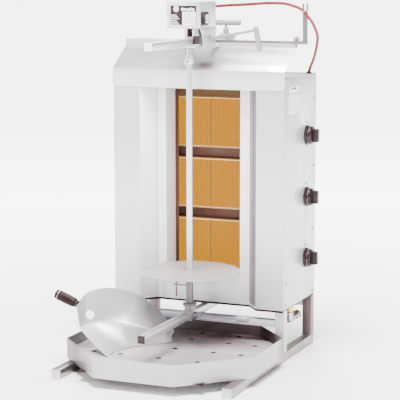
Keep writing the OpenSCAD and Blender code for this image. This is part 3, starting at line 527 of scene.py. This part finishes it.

# painted highlight: a pale plate over the coupling's left half, with three dark dots on it
B = Build(); B.box(-.0092, -.0012, .0169, .0185, .9390, .9790, 0)
for z in (.945, .958, .971): B.prism(cyc((-.0052, z), .0016, 14), .0, .0004, ((0, .0169, 0), (1, 0, 0), (0, 0, 1), (0, -1, 0)), 1)
piece(B.obj("coupling_highlight_plate"), "drive", ["lamp", "dark"])
# painted shade: thin dark strips over the right wing's angled facet and its fold, and a line at the left facet's inner
# corner
u_ = Vector((-.6526, .7577, 0)); n_ = Vector((-.7577, -.6526, 0)); B = Build()
for a0, a1, mi in ((.0008, .0205, 0), (.0212, .0262, 1), (.0269, .0555, 0)):
    B.prism([(a0, .162), (a1, .162), (a1, .800), (a0, .800)], .0001, .0004, ((.187, .086, 0), u_, (0, 0, 1), n_), mi)
B.box(-.1512, -.1488, .1284, .1289, .162, .800, 0)
piece(B.obj("wing_facet_shade_right"), "frame", ["wingshade", "wing_fold_shade"])
# painted shade: thin near-black strips along the housing's bottom front edges and sides
B = Build()
edge = [(-.187, .0868), (-.150, .1298), (.150, .1298), (.187, .0868)]
for k in range(3):
    (xa, ya), (xb_, yb_) = edge[k], edge[k+1]; L = math.hypot(xb_-xa, yb_-ya); uu = Vector(((xb_-xa)/L, (yb_-ya)/L, 0)); ww = Vector((-uu.y, uu.x, 0))
    B.prism([(0, .1490), (L, .1490), (L, .1543), (0, .1543)], 0, .0012, ((xa, ya, 0), uu, (0, 0, 1), ww), 0)
for sx in (-1, 1): B.box(*sorted((sx*.187, sx*.2725)), .0866, .0876, .1490, .1543, 0)
piece(B.obj("housing_under_edge_shade"), "frame", ["under"])
B = Build(); B.box(.2180, .2225, .236, .252, .121, .142, 0); piece(B.obj("gas_union_collar"), "frame", ["dark"], width=.0008)
# ---------------------------------------------------------------- small fastenings and weld beads
# painted shade: a dark block round the arm beside the carriage plate
B = Build()
B.box(.0385, .0565, -.0345, -.0155, .9370, .9615, 0)
piece(B.obj("sleeve_shade_block"), "carriage", ["dark"], width=.0008)
B = Build()
for ang in (-35, 35):
    th = math.radians(ang-90); dd = Vector((math.cos(th), math.sin(th), 0)); B.lathe([(.0115, .0026), (.0132, .0026), (.0138, .0020)], Vector((0, .028, .924)), dd, 20, 0)
th = math.radians(-88); dd = Vector((math.cos(th), math.sin(th), 0)); B.lathe([(.0140, .0030), (.0158, .0030), (.0165, .0022)], Vector((0, .028, .884)), dd, 20, 0)
piece(B.obj("collar_screws"), "spit", ["dark"])
def bead(name, path, rad, body="frame", look="tube"):
    B_ = Build(); pts = []
    for k in range(len(path)-1):
        a_, b_ = Vector(path[k]), Vector(path[k+1]); n_ = max(2, int((b_-a_).length/.0022))
        pts += [a_+(b_-a_)*(j/n_) for j in range(n_)]
    pts.append(Vector(path[-1])); B_.tube(pts, [rad*(.82+.18*math.cos(i*1.9)) for i in range(len(pts))], 8, 0); return piece(B_.obj(name), body, [look])
for sx, tag in ((-1, "left"), (1, "right")):
    xi, xo = sx*.247, sx*.2745
    for y0, y1, tg in ((.089, .117, "front"), (.335, .3625, "rear")):
        bead("weld_%s_%s" % (tag, tg), [(xi, y0, .0282), (xo, y0, .0282), (xo, y1, .0282), (xi, y1, .0282), (xi, y0, .0282)], .0014)
    bead("weld_bar_%s" % tag, [(xi, .0892, .104), (xi, .0892, .124)], .0014)
bead("weld_arm_rear", [(-.011, .335, .124), (-.011, .335, .146), (.011, .335, .146), (.011, .335, .124)], .0013)
bead("weld_arm_bar", [(-.011, .089, .1242), (-.011, .117, .1242)], .0012); bead("weld_arm_bar2", [(.011, .089, .1242), (.011, .117, .1242)], .0012)
# painted shade: dark sheets on the tray floor under the insert, seen through the drain holes
B = Build(); B.box(-.19, .19, -.33, .12, .0301, .0306, 0); B.box(-.26, .26, -.19, .03, .0299, .0304, 0); piece(B.obj("tray_hole_shade_sheet"), "tray", ["under"])
# painted shade: a dark lining and lip in every drain hole of the insert
B = Build()
for hx, hy in [(x, y) for x in (-.205, -.120, 0, .120, .205) for y in (-.198, -.080, .037)] + [(x, y) for x in (-.120, 0, .120) for y in (-.300, .124)]:
    N = 24; prof = ((.0069, .0547), (.0064, .0547), (.0064, .0562), (.0083, .05615), (.0083, .05605), (.0069, .05605))
    vs = [(hx+r*math.cos(2*math.pi*k/N), hy+r*math.sin(2*math.pi*k/N), z) for r, z in prof for k in range(N)]
    B.add(vs, [(i*N+k, i*N+(k+1) % N, ((i+1) % 6)*N+(k+1) % N, ((i+1) % 6)*N+k) for i in range(6) for k in range(N)], 0)
piece(B.obj("insert_hole_shade_rims"), "insert", ["dark"])
# tray: folded rim bead
OCT = [(-.120, -.372), (.120, -.372), (.292, -.200), (.292, .034), (.178, .160), (-.178, .160), (-.292, .034), (-.292, -.200)]
B = Build(); pts = []
cx0 = [Vector((x*.9955, y*.9955+(-.0001 if y > 0 else .0001), .0872)) for x, y in OCT]
B.tube(cx0+[cx0[0]], .0010, 10, 0, ref=(0, 0, 1)); piece(B.obj("tray_rim_bead"), "tray", ["tray"])


floor = mesh_obj("floor", [(-90, -90, -.0005), (90, -90, -.0005), (90, 90, -.0005), (-90, 90, -.0005)], [(0, 1, 2, 3)])
fm, t, b = new_mat("floor_look")
t.links.new(ramp(t, noise(t, (1, 1, 1), 3, 3), (.3, (.9, .895, .89)), (.7, (.93, .925, .92))), b.inputs["Base Color"]); b.inputs["Roughness"].default_value = .6; b.inputs["Specular IOR Level"].default_value = .2
gl = nd(t, "ShaderNodeVectorMath", operation="LENGTH"); t.links.new(coords(t, (1, 1, 1)), gl.inputs[0])
b.inputs["Emission Color"].default_value = (1, 1, 1, 1); t.links.new(rng(t, gl.outputs["Value"], .55, 3.2, 0, 5.2), b.inputs["Emission Strength"])
floor.data.materials.append(fm)
bpy.context.view_layer.update()
